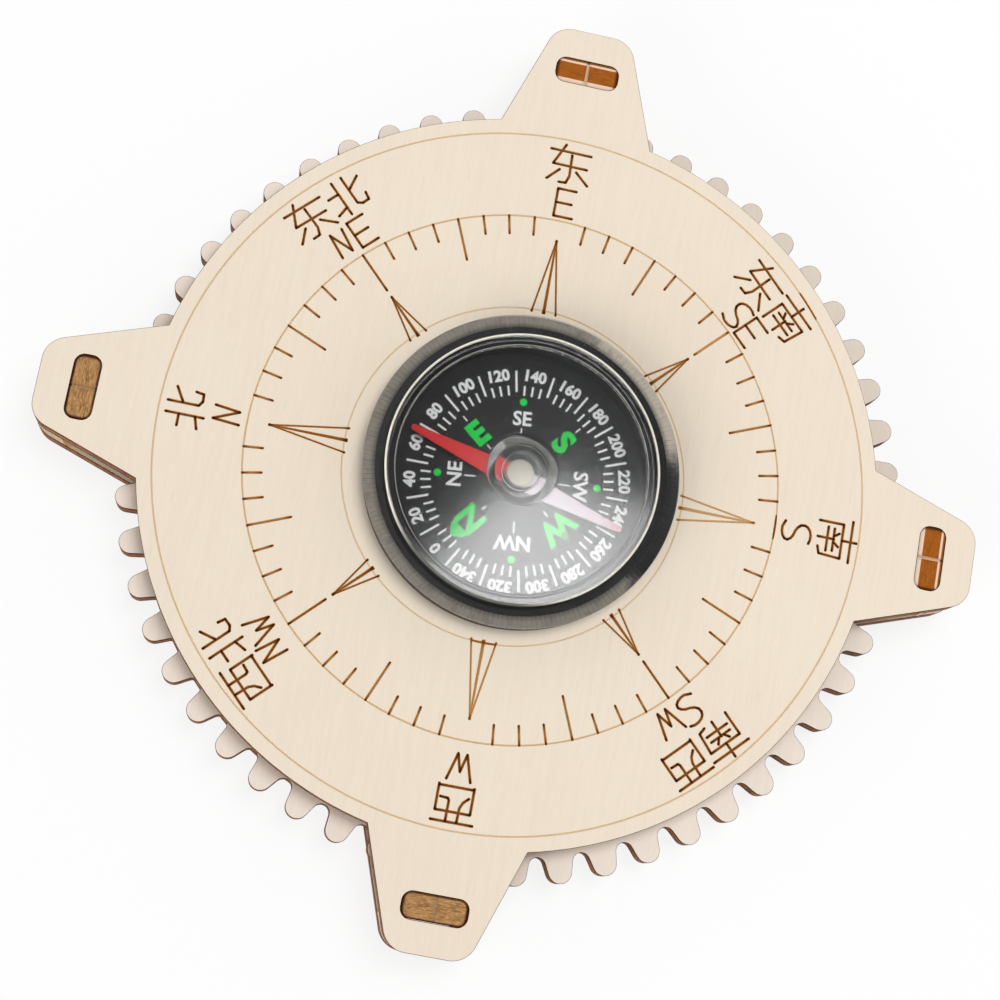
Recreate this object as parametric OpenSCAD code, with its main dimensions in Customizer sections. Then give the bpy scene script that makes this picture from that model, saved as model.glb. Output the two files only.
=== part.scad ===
// A direction compass: a toothed wheel turns between two plywood plates that four split
// keys hold together, and a round compass module sits in the window of the top plate.
// +Z is up, +Y runs to the north mark, +X to the east mark, and the origin is under the
// middle of the bottom plate. All lengths are in millimetres.

/* [Plywood] */
// Thickness of the board that the plates, the wheel and the keys are cut from
ply_t = 3; // [2.4:0.1:4]
// Diameter of the round part of both plates
disc_d = 94; // [90:0.5:110]
// Air above and below the wheel
wheel_play = 0.2; // [0.15:0.05:0.5]

/* [Lugs] */
// Length of a lug beyond the disc
lug_len = 13.3; // [12:0.1:18]
// Width of a lug where it leaves the disc
lug_root_w = 19.9; // [18:0.1:26]
// Width of a lug at its tip, before its corners are rounded
lug_tip_w = 9.9; // [9:0.1:14]
// Radius of the corners at the tip
lug_corner_r = 3.2; // [1:0.1:4]

/* [Keys] */
// Distance from the tip of a lug to the middle of its key
key_inset = 5.7; // [5:0.1:7]
// Width of the shoulder between the plates
key_w = 12.8; // [11.5:0.1:15]
// Width of a tab
tab_w = 7.7; // [6:0.1:8]
// Radius of the corners of a tab, seen from its end
tab_corner_r = 1.1; // [0.4:0.1:1.3]
// How far the end of a tab stays below the face of the plate
tab_short = 0.4; // [0:0.1:1]
// Width of the slit that splits a tab
slit_w = 0.35; // [0.2:0.05:0.8]
// Depth of the slit in the shoulder
slit_sink = 0.8; // [0.2:0.1:1]
// Air at each end of the slot
slot_play = 0.3; // [0.25:0.05:0.6]
// Air at each side of the slot
slot_side_play = 0.2; // [0.15:0.05:0.25]

/* [Wheel] */
// Pitch of the teeth along the floor between them
tooth_pitch = 5.45; // [5.3:0.05:6]
// Height of a tooth
tooth_h = 3.45; // [3:0.05:4]
// Radius of the nose of a tooth
nose_r = 1.5; // [1.3:0.05:1.65]
// Radius of the floor between two teeth
gullet_r = 1.05; // [0.7:0.05:1.1]
// How far the floor between two teeth lies inside the edge of the plates
root_sink = 0.15; // [0:0.05:0.5]

/* [Compass module] */
// Widest diameter, at the lip of the cover
module_d = 39.8; // [36:0.1:46]
// Step from the lip of the cover in to the flange below it
lip_step = 0.15; // [0.05:0.05:0.5]
// Width of the flange that lies over the edge of the window
seat_w = 0.85; // [0.8:0.05:2]
// Play between the neck of the module and the window
neck_play = 1.1; // [0.8:0.05:1.2]
// Air under the flange
seat_play = 0.1; // [0.05:0.05:0.3]
// Air under the foot of the module
foot_play = 0.3; // [0.1:0.05:0.6]
// Height of the flange
flange_h = 2.7; // [2.2:0.1:4]
// Height of the cover above the flange
cover_h = 1.6; // [1.5:0.1:2.6]
// Thickness of the moulded walls
wall_t = 1; // [0.8:0.05:1.3]
// Thickness of the moulded floor
floor_t = 1; // [0.8:0.1:1.2]

/* [Cover] */
// Thickness of the clear window
pane_t = 1; // [0.8:0.1:1.4]
// Width of the sloped shoulder
shoulder_w = 2.9; // [2:0.1:3.5]
// Height of the upright lip
lip_h = 0.5; // [0.3:0.05:0.6]
// Width of the lower, flatter part of the shoulder
step_w = 1.1; // [0.8:0.1:1.4]
// Rise of the lower part of the shoulder
step_h = 0.5; // [0.4:0.05:0.6]
// Bevel round the edge of the window
bevel = 0.2; // [0.1:0.05:0.3]
// Thickness of the spigot that goes down into the base
spigot_t = 0.7; // [0.5:0.05:0.8]
// Length of the spigot
spigot_h = 1; // [0.6:0.1:1.4]
// Air round the spigot
spigot_play = 0.1; // [0.05:0.05:0.2]
// Outer diameter of the boss over the hub
boss_d = 6.8; // [6.4:0.1:8]
// Wall of the boss
boss_t = 1; // [0.8:0.05:1.1]
// Flare of the boss where it meets the window
boss_flare = 1.1; // [0.4:0.1:1.4]

/* [Dial] */
// Depth of the dial's face below the flange
dial_depth = 3.9; // [3:0.1:4.3]
// Thickness of the dial card
card_t = 0.5; // [0.3:0.05:0.6]
// Air round the card
card_play = 0.2; // [0.1:0.05:0.4]
// Width of the ledge that carries the card
ledge_w = 1.3; // [0.8:0.1:2.5]
// Diameter of the post that holds the pivot pin
post_d = 4.4; // [3:0.1:6]

/* [Needle] */
// Length from point to point
needle_l = 29.8; // [24:0.1:31]
// Width beside the hub
needle_w = 3.1; // [2.9:0.1:4]
// Radius of the points
point_r = 0.4; // [0.2:0.05:0.7]
// Thickness of the blade
needle_t = 0.4; // [0.2:0.05:0.6]
// Height of the blade above the dial
needle_lift = 0.9; // [0.7:0.05:1.4]
// Direction of the red point, from the X axis
needle_turn = 74.5; // [0:0.5:360]
// Diameter of the hub's cap
hub_d = 3.6; // [3.4:0.1:4]
// Height of the cap above the blade
hub_h = 3.4; // [2.8:0.1:3.8]
// Diameter of the hub where it goes through the blade
hub_neck_d = 2.3; // [2:0.05:2.4]
// Height of the collar under the blade
collar_h = 0.35; // [0.2:0.05:0.5]
// Diameter of the collar under the blade
collar_d = 2.8; // [2.6:0.1:3]

/* [Pivot] */
// Diameter of the pin
pin_d = 1; // [0.8:0.05:1.1]
// Diameter of the foot that is pressed into the post
pin_foot_d = 1.4; // [1.2:0.1:1.8]
// Length of the foot
pin_foot_h = 0.9; // [0.5:0.05:1]
// Length of the point
point_l = 0.8; // [0.5:0.1:1]
// Diameter of the very tip
tip_d = 0.1; // [0.05:0.05:0.2]
// Air between the pin and the bore of the hub
pin_play = 0.25; // [0.15:0.05:0.3]
// Air between the tip and the roof of the bore
tip_play = 0.06; // [0.02:0.02:0.1]
// Thickness of the hub above the bore
hub_roof = 0.5; // [0.3:0.05:0.6]
// Air between the foot and the hole it sits in
foot_fit = 0.02; // [0.01:0.01:0.05]

/* [Hidden] */
$fn = 96;

// Where the loose pieces lie, as shares of their play
module_lean_share = [0.045, -0.545];
wheel_lean_share = [-0.609, -0.1445];

// Overrun of every cut
over = 0.5;
// Segments of a short arc
arc_steps = 8;
// How far the root of a lug reaches into the disc
lug_bite = 3;
// Bevel under the foot of the module
foot_bevel = 0.4;
// Air round the hub where it goes through the blade
hub_play = 0.05;
// Air between the pin and the dial card
hole_play = 0.3;
// Clearance of the boss above the blade
boss_lift = 3.1;

disc_r = disc_d / 2;
stack_t = 3 * ply_t + 2 * wheel_play;
gap_t = ply_t + 2 * wheel_play;

lug_reach = disc_r + lug_len;
lug_root_y = sqrt(pow(disc_r, 2) - pow(lug_root_w / 2, 2));
lug_slope = (lug_root_w - lug_tip_w) / 2 / (lug_reach - lug_root_y);
lug_angle = atan(lug_slope);
key_r = lug_reach - key_inset;

root_r = disc_r - root_sink;
tip_r = root_r + tooth_h;
teeth = round(2 * PI * root_r / tooth_pitch);
pitch = 360 / teeth;

module_r = module_d / 2;
flange_r = module_r - lip_step;
window_r = flange_r - seat_w;
neck_r = window_r - neck_play;
cavity_r = neck_r - wall_t;
module_at = module_lean_share * neck_play;
wheel_at = module_at + wheel_lean_share * neck_play;

foot_z = ply_t + foot_play;
floor_z = foot_z + floor_t;
flange_z = stack_t + seat_play;
face_z = flange_z - dial_depth;
card_z = face_z - card_t;
seat_z = flange_z + flange_h;
top_z = seat_z + cover_h;
blade_z = face_z + needle_lift;
cap_z = blade_z + needle_t;
hub_top_z = cap_z + hub_h;
bore_top_z = hub_top_z - hub_roof;
tip_z = bore_top_z - tip_play;

// Points of an arc about a centre
function arc(centre, r, from, to, steps = arc_steps) =
    [for (i = [0:steps]) centre + r * [cos(from + (to - from) * i / steps), sin(from + (to - from) * i / steps)]];

// A point turned about the origin
function turned(p, a) = [p.x * cos(a) - p.y * sin(a), p.x * sin(a) + p.y * cos(a)];

// Outline of a rectangle with round corners
function round_rect(w, h, r) = concat(
    arc([w / 2 - r, h / 2 - r], r, 0, 90),
    arc([r - w / 2, h / 2 - r], r, 90, 180),
    arc([r - w / 2, r - h / 2], r, 180, 270),
    arc([w / 2 - r, r - h / 2], r, 270, 360)
);

// Outline of one lug that points along +Y, down to a little inside the disc
function lug_points() =
    let (
        in_y = lug_root_y - lug_bite,
        in_x = lug_root_w / 2 + lug_bite * lug_slope,
        y = lug_reach - lug_corner_r,
        x = lug_tip_w / 2 - lug_corner_r * (1 - sin(lug_angle)) / cos(lug_angle)
    )
    concat(
        [[in_x, in_y]],
        arc([x, y], lug_corner_r, lug_angle, 90),
        arc([-x, y], lug_corner_r, 90, 180 - lug_angle),
        [[-in_x, in_y]]
    );

// One pitch of the wheel's outline: a round nose, a straight flank and the round floor beside it
function tooth_points() =
    let (
        nose = [tip_r - nose_r, 0],
        gullet = turned([root_r + gullet_r, 0], pitch / 2),
        between = gullet - nose,
        flank = atan2(between.y, between.x) - acos((nose_r + gullet_r) / norm(between))
    )
    concat(
        arc(nose, nose_r, -flank, flank, arc_steps + 2),
        arc(gullet, gullet_r, flank + 180, pitch - flank + 180, arc_steps - 2)
    );

// The outline that both plates share, with the four slots for the keys
module plate_outline() {
    difference() {
        union() {
            circle(disc_r);
            for (side = [0:3])
                rotate(90 * side) polygon(lug_points());
        }
        for (side = [0:3])
            rotate(90 * side) translate([0, key_r])
                polygon(round_rect(tab_w + 2 * slot_play, ply_t + 2 * slot_side_play, tab_corner_r + slot_side_play));
    }
}

module bottom_plate() {
    color([0.90, 0.83, 0.72])
        linear_extrude(ply_t) plate_outline();
}

module top_plate() {
    color([0.94, 0.89, 0.80])
        translate([0, 0, stack_t - ply_t])
            difference() {
                linear_extrude(ply_t) plate_outline();
                translate([0, 0, -over]) cylinder(h = ply_t + 2 * over, r = window_r);
            }
}

// The wheel lies loose round the neck of the module, with one tooth centred to the south
module gear_wheel() {
    color([0.87, 0.81, 0.73])
        translate([wheel_at.x, wheel_at.y, ply_t + wheel_play])
            difference() {
                rotate(-90)
                    linear_extrude(ply_t)
                        polygon([for (i = [0:teeth - 1]) for (p = tooth_points()) turned(p, i * pitch)]);
                translate([0, 0, -over]) cylinder(h = ply_t + 2 * over, r = window_r);
            }
}

// One key on edge in its lug, with side 0 to the north and the rest clockwise: a shoulder as
// high as the gap, and a split tab up and down with round corners that follow the slot
module key(side) {
    tab_h = ply_t - tab_short;
    cut_h = tab_h + slit_sink + over;
    color([0.55, 0.38, 0.22])
        rotate(-90 * side)
            translate([0, key_r, stack_t / 2])
                difference() {
                    union() {
                        cube([key_w, ply_t, gap_t], center = true);
                        translate([0, 0, -gap_t / 2 - tab_h])
                            linear_extrude(gap_t + 2 * tab_h)
                                polygon(round_rect(tab_w, ply_t, tab_corner_r));
                    }
                    for (end = [-1, 1])
                        translate([0, 0, end * (gap_t / 2 + tab_h + over - cut_h / 2)])
                            cube([slit_w, ply_t + 2 * over, cut_h], center = true);
                }
}

module key_north() {
    key(0);
}

module key_east() {
    key(1);
}

module key_south() {
    key(2);
}

module key_west() {
    key(3);
}

// Black moulded cup: a neck that hangs in the window and a flange that lies on the plate
module module_base() {
    hole_r = pin_foot_d / 2 + foot_fit;
    color([0.08, 0.08, 0.09])
        translate(module_at)
            rotate_extrude()
                polygon([
                    [0, foot_z],
                    [neck_r - foot_bevel, foot_z],
                    [neck_r, foot_z + foot_bevel],
                    [neck_r, flange_z],
                    [flange_r, flange_z],
                    [flange_r, seat_z],
                    [cavity_r, seat_z],
                    [cavity_r, card_z],
                    [cavity_r - ledge_w, card_z],
                    [cavity_r - ledge_w, floor_z],
                    [post_d / 2, floor_z],
                    [post_d / 2, card_z],
                    [hole_r, card_z],
                    [hole_r, card_z - pin_foot_h],
                    [0, card_z - pin_foot_h]
                ]);
}

module dial_card() {
    color([0.12, 0.12, 0.13])
        translate([module_at.x, module_at.y, card_z])
            difference() {
                cylinder(h = card_t, r = cavity_r - card_play);
                translate([0, 0, -over]) cylinder(h = card_t + 2 * over, r = pin_d / 2 + hole_play);
            }
}

module pivot_pin() {
    color([0.80, 0.72, 0.45])
        translate(module_at)
            rotate_extrude()
                polygon([
                    [0, card_z - pin_foot_h],
                    [pin_foot_d / 2, card_z - pin_foot_h],
                    [pin_foot_d / 2, card_z],
                    [pin_d / 2, card_z],
                    [pin_d / 2, tip_z - point_l],
                    [tip_d / 2, tip_z],
                    [0, tip_z]
                ]);
}

// Clear cover: a lip, a shoulder in two slopes, the flat window and the boss inside it
module clear_cover() {
    pane_z = top_z - pane_t;
    rim_r = module_r - shoulder_w;
    step_r = module_r - step_w;
    spigot_r = cavity_r - spigot_play;
    boss_r = boss_d / 2;
    boss_z = cap_z + boss_lift;
    color([0.85, 0.90, 0.95, 0.35])
        translate(module_at)
            rotate_extrude()
                polygon([
                    [0, pane_z],
                    [boss_r - boss_t, pane_z],
                    [boss_r - boss_t, boss_z],
                    [boss_r, boss_z],
                    [boss_r, pane_z - boss_flare],
                    [boss_r + boss_flare, pane_z],
                    [spigot_r - spigot_t, pane_z],
                    [spigot_r - spigot_t, seat_z - spigot_h],
                    [spigot_r, seat_z - spigot_h],
                    [spigot_r, seat_z],
                    [module_r, seat_z],
                    [module_r, seat_z + lip_h],
                    [step_r, seat_z + lip_h + step_h],
                    [rim_r + bevel, top_z - bevel],
                    [rim_r, top_z],
                    [0, top_z]
                ]);
}

// Flat steel blade with two round points
module needle_blade() {
    reach = needle_l / 2 - point_r;
    color([0.85, 0.10, 0.12])
        translate([module_at.x, module_at.y, blade_z])
            rotate(needle_turn)
                difference() {
                    linear_extrude(needle_t)
                        hull() {
                            circle(needle_w / 2, $fn = 32);
                            for (end = [-1, 1])
                                translate([end * reach, 0]) circle(point_r, $fn = 32);
                        }
                    translate([0, 0, -over])
                        cylinder(h = needle_t + 2 * over, d = hub_neck_d + 2 * hub_play);
                }
}

// Turned hub: a collar, a neck through the blade and a cap, bored from below for the pin
module needle_hub() {
    bore_r = pin_d / 2 + pin_play;
    color([0.88, 0.86, 0.78])
        translate(module_at)
            rotate_extrude()
                polygon([
                    [bore_r, blade_z - collar_h],
                    [collar_d / 2, blade_z - collar_h],
                    [collar_d / 2, blade_z],
                    [hub_neck_d / 2, blade_z],
                    [hub_neck_d / 2, cap_z],
                    [hub_d / 2, cap_z],
                    [hub_d / 2, hub_top_z],
                    [0, hub_top_z],
                    [0, bore_top_z],
                    [tip_d / 2, bore_top_z],
                    [bore_r, bore_top_z - point_l]
                ]);
}

bottom_plate();
top_plate();
gear_wheel();
key_north();
key_east();
key_south();
key_west();
module_base();
dial_card();
pivot_pin();
clear_cover();
needle_blade();
needle_hub();
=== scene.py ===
import math

import bmesh
import bpy
import numpy as np
from mathutils import Matrix, Vector
from mathutils.geometry import delaunay_2d_cdt


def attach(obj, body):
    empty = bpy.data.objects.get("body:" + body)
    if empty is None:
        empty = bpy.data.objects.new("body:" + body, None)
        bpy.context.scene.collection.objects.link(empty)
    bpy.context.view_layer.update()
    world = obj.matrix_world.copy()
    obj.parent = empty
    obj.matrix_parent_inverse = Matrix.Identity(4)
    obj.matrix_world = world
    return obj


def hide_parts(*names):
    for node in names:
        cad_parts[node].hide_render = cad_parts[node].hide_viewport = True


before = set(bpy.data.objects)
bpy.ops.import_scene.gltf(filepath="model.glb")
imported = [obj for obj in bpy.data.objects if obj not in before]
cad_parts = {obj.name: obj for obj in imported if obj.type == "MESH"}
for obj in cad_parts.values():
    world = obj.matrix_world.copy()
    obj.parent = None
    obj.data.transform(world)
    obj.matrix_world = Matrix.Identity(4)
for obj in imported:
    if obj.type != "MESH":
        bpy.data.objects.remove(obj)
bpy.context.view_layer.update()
mm = 0.001
print("frame loaded:", len(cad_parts), "nodes")


class Wire:
    # one output socket of a node tree; sums and products of wires add Math nodes
    def __init__(self, tree, socket):
        self.tree = tree
        self.socket = socket

    def other(self, name):
        return Wire(self.tree, self.socket.node.outputs[name])

    def node(self, kind, settings=None, values=None, out=0):
        made = self.tree.nodes.new(kind)
        for key, value in (settings or {}).items():
            if key == "stops":
                ramp = made.color_ramp
                while len(ramp.elements) < len(value):
                    ramp.elements.new(1.0)
                for element, (place, colour) in zip(ramp.elements, value):
                    element.position = place
                    element.color = colour
            else:
                setattr(made, key, value)
        for key, value in (values or {}).items():
            for one in (value if isinstance(value, list) else [value]):
                if isinstance(one, Wire):
                    self.tree.links.new(one.socket, made.inputs[key])
                else:
                    made.inputs[key].default_value = one
        return Wire(self.tree, made.outputs[out]) if len(made.outputs) else None

    def maths(self, operation, *terms):
        return self.node("ShaderNodeMath", {"operation": operation}, dict(enumerate(terms)))

    def __add__(self, b):
        return self.maths("ADD", self, b)

    def __radd__(self, b):
        return self.maths("ADD", b, self)

    def __sub__(self, b):
        return self.maths("SUBTRACT", self, b)

    def __rsub__(self, b):
        return self.maths("SUBTRACT", b, self)

    def __mul__(self, b):
        return self.maths("MULTIPLY", self, b)

    def __rmul__(self, b):
        return self.maths("MULTIPLY", b, self)

    def __truediv__(self, b):
        return self.maths("DIVIDE", self, b)

    def __mod__(self, b):
        return self.maths("FLOORED_MODULO", self, b)

    def __abs__(self):
        return self.maths("ABSOLUTE", self)

    def __gt__(self, b):
        return self.maths("GREATER_THAN", self, b)

    def __lt__(self, b):
        return self.maths("LESS_THAN", self, b)

    def fade(self, low, high):
        # 0 at low and 1 at high, smooth between
        return self.node("ShaderNodeMapRange", {"interpolation_type": "SMOOTHSTEP"},
                         {"Value": self, "From Min": low, "From Max": high})

    def mix(self, first, second, mode="MIX"):
        # two colours mixed by this wire
        return self.node("ShaderNodeMix", {"data_type": "RGBA", "blend_type": mode},
                         {0: self, 6: first, 7: second}, out=2)

    def noise(self, scale, detail=3.0, rough=0.5, stretch=(1.0, 1.0, 1.0), turn=0.0):
        # noise on this place, squeezed along each axis and turned about Z
        spin = (0, 0, math.radians(turn))
        place = self.node("ShaderNodeMapping", None,
                          {"Vector": self, "Scale": stretch, "Rotation": spin})
        return self.node("ShaderNodeTexNoise", None,
                         {"Vector": place, "Scale": scale, "Detail": detail, "Roughness": rough})

    def parts(self):
        # a place's x, y and z
        x = self.node("ShaderNodeSeparateXYZ", None, {"Vector": self})
        return x, x.other("Y"), x.other("Z")

    def bump(self, height, strength=1.0):
        return self.node("ShaderNodeBump", None,
                         {"Height": self, "Distance": height, "Strength": strength})


def rgb(red, green, blue):
    # a colour as it is seen in the photo, made linear
    def linear(c):
        c = c / 255
        return c / 12.92 if c <= 0.04045 else ((c + 0.055) / 1.055) ** 2.4
    return (linear(red), linear(green), linear(blue), 1.0)


def scaled(colour, share, lift=0.0):
    # a colour made lighter or darker
    return tuple(min(1.0, c * share + lift) for c in colour[:3]) + (1.0,)


def newObject(name, data):
    item = bpy.data.objects.new(name, data)
    bpy.context.scene.collection.objects.link(item)
    return item


def newMesh(name, verts, faces, edges=(), scale=mm):
    mesh = bpy.data.meshes.new(name)
    mesh.from_pydata([tuple(c * scale for c in v) for v in verts], edges, faces)
    return mesh


def plainMesh(item):
    # an object's mesh with its modifiers applied
    graph = bpy.context.evaluated_depsgraph_get()
    return bpy.data.meshes.new_from_object(item.evaluated_get(graph), depsgraph=graph)


def newMaterial(name):
    # a material, and the place on the object in millimetres
    material = bpy.data.materials.new(name)
    material.use_nodes = True
    material.node_tree.nodes.clear()
    spot = material.node_tree.nodes.new("ShaderNodeTexCoord").outputs["Object"]
    place = Wire(material.node_tree, spot)
    return material, place.node("ShaderNodeMapping", None,
                                {"Vector": place, "Scale": (1 / mm,) * 3})


def shade(material, place, values):
    # closes a material with its shader
    shader = place.node("ShaderNodeBsdfPrincipled", None, values)
    place.node("ShaderNodeOutputMaterial", None, {"Surface": shader})
    return material


def newTree(name, inputs):
    # a Geometry Nodes tree with named inputs; returns the tree and one wire for each input
    tree = bpy.data.node_groups.new(name, "GeometryNodeTree")
    tree.interface.new_socket("Geometry", in_out="OUTPUT", socket_type="NodeSocketGeometry")
    for label, kind in inputs.items():
        tree.interface.new_socket(label, in_out="INPUT", socket_type="NodeSocket" + kind)
    entry = tree.nodes.new("NodeGroupInput")
    return tree, {label: Wire(tree, entry.outputs[label]) for label in inputs}


def grow(name, mesh, tree, values):
    # runs a tree on a mesh and keeps the result as a plain mesh
    item = newObject(name, mesh)
    modifier = item.modifiers.new("tree", "NODES")
    modifier.node_group = tree
    names = {s.name: s.identifier for s in tree.interface.items_tree if s.in_out == "INPUT"}
    for label, value in values.items():
        modifier[names[label]] = value
    plain = plainMesh(item)
    item.modifiers.clear()
    item.data = plain
    plain.name = name
    kept = [m for m in plain.materials if m]
    places = [kept.index(m) if m else 0 for m in plain.materials] or [0]
    slots = [places[face.material_index] for face in plain.polygons]
    plain.materials.clear()
    for material in kept:
        plain.materials.append(material)
    plain.polygons.foreach_set("material_index", slots)
    return item


def closeUp(item, angle=30, weld=2e-6):
    # one closed shell with faces outward, smooth but for its real edges
    work = bmesh.new()
    work.from_mesh(item.data)
    bmesh.ops.remove_doubles(work, verts=work.verts, dist=weld)
    bmesh.ops.recalc_face_normals(work, faces=work.faces)
    work.to_mesh(item.data)
    work.free()
    item.data.polygons.foreach_set("use_smooth", [True] * len(item.data.polygons))
    item.data.set_sharp_from_angle(angle=math.radians(angle))
    return item


def addPiece(name, verts, faces, materials, scale=mm):
    mesh = newMesh(name, verts, faces, scale=scale)
    for material in materials:
        mesh.materials.append(material)
    return newObject(name, mesh)


def settle(item, body, slot, *nodes):
    # hands a finished piece to the frame
    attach(item, body)
    if nodes:
        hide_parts(*nodes)
    return item


def turned(point, angle):
    c, s = math.cos(angle), math.sin(angle)
    return (point[0] * c - point[1] * s, point[0] * s + point[1] * c)


def arc(centre, radius, start, end, steps):
    # angles in degrees
    out = []
    for i in range(steps + 1):
        a = math.radians(start + (end - start) * i / steps)
        out.append((centre[0] + radius * math.cos(a), centre[1] + radius * math.sin(a)))
    return out


# Camera at the photo's viewing angle
camera = {
    "at": (-55.943, 23.794, 264.806),  # mm
    "aim": (-3.606, 1.171, 9.4),
    "up": (0.96374, 0.19697, 0.18004),
    "lens": 75.087,
}


def addCamera():
    data = bpy.data.cameras.new("camera")
    data.lens = camera["lens"]
    data.sensor_width = 36
    data.clip_start = 0.01
    data.clip_end = 20
    item = newObject("camera", data)
    back = (Vector(camera["at"]) - Vector(camera["aim"])).normalized()
    right = Vector(camera["up"]).cross(back).normalized()
    up = back.cross(right)
    item.matrix_world = Matrix.Translation(Vector(camera["at"]) * mm) @ Matrix(
        (right, up, back)).transposed().to_4x4()
    bpy.context.scene.camera = item


addCamera()
bpy.context.scene.view_settings.view_transform = "Standard"
print("camera placed")

# Studio: a pale floor, a white sky that is dim overhead, and two soft lamps
studio = {
    "floorSize": 6.0,  # m
    "floorShare": 0.82,  # how much of the floor's white is its own
    "ceiling": 0.15, "dimming": (0.3, 0.65),  # the sky overhead, and the heights where it dims
    "keyAt": (0.11, -0.12, 0.58), "keySize": 0.36, "keyPower": 2.0,
    "fillAt": (-1.1, 0.92, 0.67), "fillSize": 1.0, "fillPower": 10.5,
}


def addLamp(name, at, aim, size, power, turn=0.0):
    lamp = bpy.data.lights.new(name, "AREA")
    lamp.shape = "RECTANGLE"
    lamp.size, lamp.size_y = size
    lamp.energy = power
    item = newObject(name, lamp)
    tilt = (Vector(at) - Vector(aim)).to_track_quat("Z", "Y").to_matrix().to_4x4()
    spin = Matrix.Rotation(math.radians(turn), 4, "Z")
    item.matrix_world = Matrix.Translation(Vector(at)) @ tilt @ spin
    return item


def addStudio():
    world = bpy.data.worlds.new("studio")
    bpy.context.scene.world = world
    world.use_nodes = True
    tree = world.node_tree
    tree.nodes.clear()
    way = Wire(tree, tree.nodes.new("ShaderNodeTexCoord").outputs["Generated"])
    height = way.parts()[2]
    strength = 1.0 - height.fade(*studio["dimming"]) * (1.0 - studio["ceiling"])
    sky = way.node("ShaderNodeBackground", None, {"Color": (1, 1, 1, 1), "Strength": strength})
    way.node("ShaderNodeOutputWorld", None, {"Surface": sky})

    half = studio["floorSize"] / 2
    corners = [(-half, -half, 0), (half, -half, 0), (half, half, 0), (-half, half, 0)]
    floor = addPiece("floor", corners, [(0, 1, 2, 3)], [], scale=1)
    paper, place = newMaterial("paper")
    own = place.node("ShaderNodeEmission", None, {"Color": (1, 1, 1, 1), "Strength": 1.0})
    lit = place.node("ShaderNodeBsdfDiffuse", None, {"Color": (0.97, 0.97, 0.97, 1)})
    path = place.node("ShaderNodeLightPath")  # the floor's own white is seen, and lights nothing
    seen = path.maths("MAXIMUM", path.other("Is Glossy Ray"), path.other("Is Transmission Ray"))
    seen = path.maths("MAXIMUM", seen, path.other("Is Camera Ray"))
    both = place.node("ShaderNodeMixShader", None, {0: seen * studio["floorShare"], 1: lit, 2: own})
    place.node("ShaderNodeOutputMaterial", None, {"Surface": both})
    floor.data.materials.append(paper)
    for name in ("key", "fill"):
        at, size, power = [studio[name + word] for word in ("At", "Size", "Power")]
        lamp = addLamp(name, at, (0, 0, 0), (size, size), power)
        # the window doesn't mirror these two
        lamp.visible_glossy = lamp.visible_transmission = False


addStudio()
print("studio lit")

# Plywood: pale faces, laser-burnt cut edges and burnt engraving
wood = {
    "topLight": rgb(240, 227, 208), "topDark": rgb(234, 219, 199),
    # the wheel's tone is lifted above the plates': painted light against the shade it gets under
    # the upper plate
    "wheelLight": rgb(245, 234, 221), "wheelDark": rgb(236, 224, 210),
    "lowLight": rgb(238, 225, 206), "lowDark": rgb(228, 213, 192),
    "char": rgb(48, 24, 15), "veneer": rgb(100, 58, 34), "core": rgb(146, 95, 55),
    "boardPitch": 3.2,  # mm from one board's underside to the next
    "boardThick": 3.0,
    "glueAt": 0.29,  # share of the thickness from the mid-plane to the veneer
}


def woodFace(name, light, dark, turn=0.0):
    material, place = newMaterial(name)
    streaks = place.noise(1.1, 4.0, 0.6, (0.09, 1.6, 1.0), turn)
    fine = place.noise(4.5, 2.0, 0.5, (0.12, 1.8, 1.0), turn)
    cloud = place.noise(0.05, 2.0, 0.5)
    tone = streaks.fade(0.3, 0.75) * 0.42 + fine.fade(0.35, 0.7) * 0.28 + cloud.fade(0.3, 0.7) * 0.3
    colour = tone.mix(light, dark)
    fleck = place.noise(1.9, 1.0, 0.4, (0.16, 1.3, 1.0), turn).fade(0.68, 0.76)
    colour = (fleck * 0.1).mix(colour, rgb(204, 180, 150))
    return shade(material, place, {
        "Base Color": colour,
        "Roughness": 0.62 + fine * 0.14,
        "Specular IOR Level": 0.25,
        "Normal": (streaks * 0.5 + fine * 0.5).bump(0.00002, 0.5),
    })


def burntEdge(name):
    # three plies on edge, charred where the laser went in and out
    material, place = newMaterial(name)
    share = (place.parts()[2] % wood["boardPitch"]) / wood["boardThick"]
    middle = abs(share - 0.5)  # 0 at the board's mid-plane and 0.5 at its faces
    grain = place.noise(1.3, 3.0, 0.6, (1.0, 1.0, 0.25))
    striae = place.noise(5.0, 2.0, 0.5, (1.0, 1.0, 0.06))
    ply = middle.fade(wood["glueAt"] - 0.02, wood["glueAt"] + 0.02)
    glue = middle.fade(wood["glueAt"] - 0.025, wood["glueAt"] - 0.005) * (
        1.0 - middle.fade(wood["glueAt"] + 0.005, wood["glueAt"] + 0.025))
    colour = ply.mix(wood["core"], wood["veneer"])
    colour = (glue * 0.6).mix(colour, wood["char"])
    colour = (grain.fade(0.42, 0.72) * 0.55).mix(colour, wood["char"])
    colour = (striae.fade(0.5, 0.75) * 0.35).mix(colour, rgb(176, 120, 74))
    colour = (middle.fade(0.42, 0.5) * 0.7).mix(colour, wood["char"])
    return shade(material, place, {
        "Base Color": colour,
        "Roughness": 0.7 + striae * 0.2,
        "Specular IOR Level": 0.2,
        "Normal": (striae * 0.7 + grain * 0.3).bump(0.00006, 0.7),
    })


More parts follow.
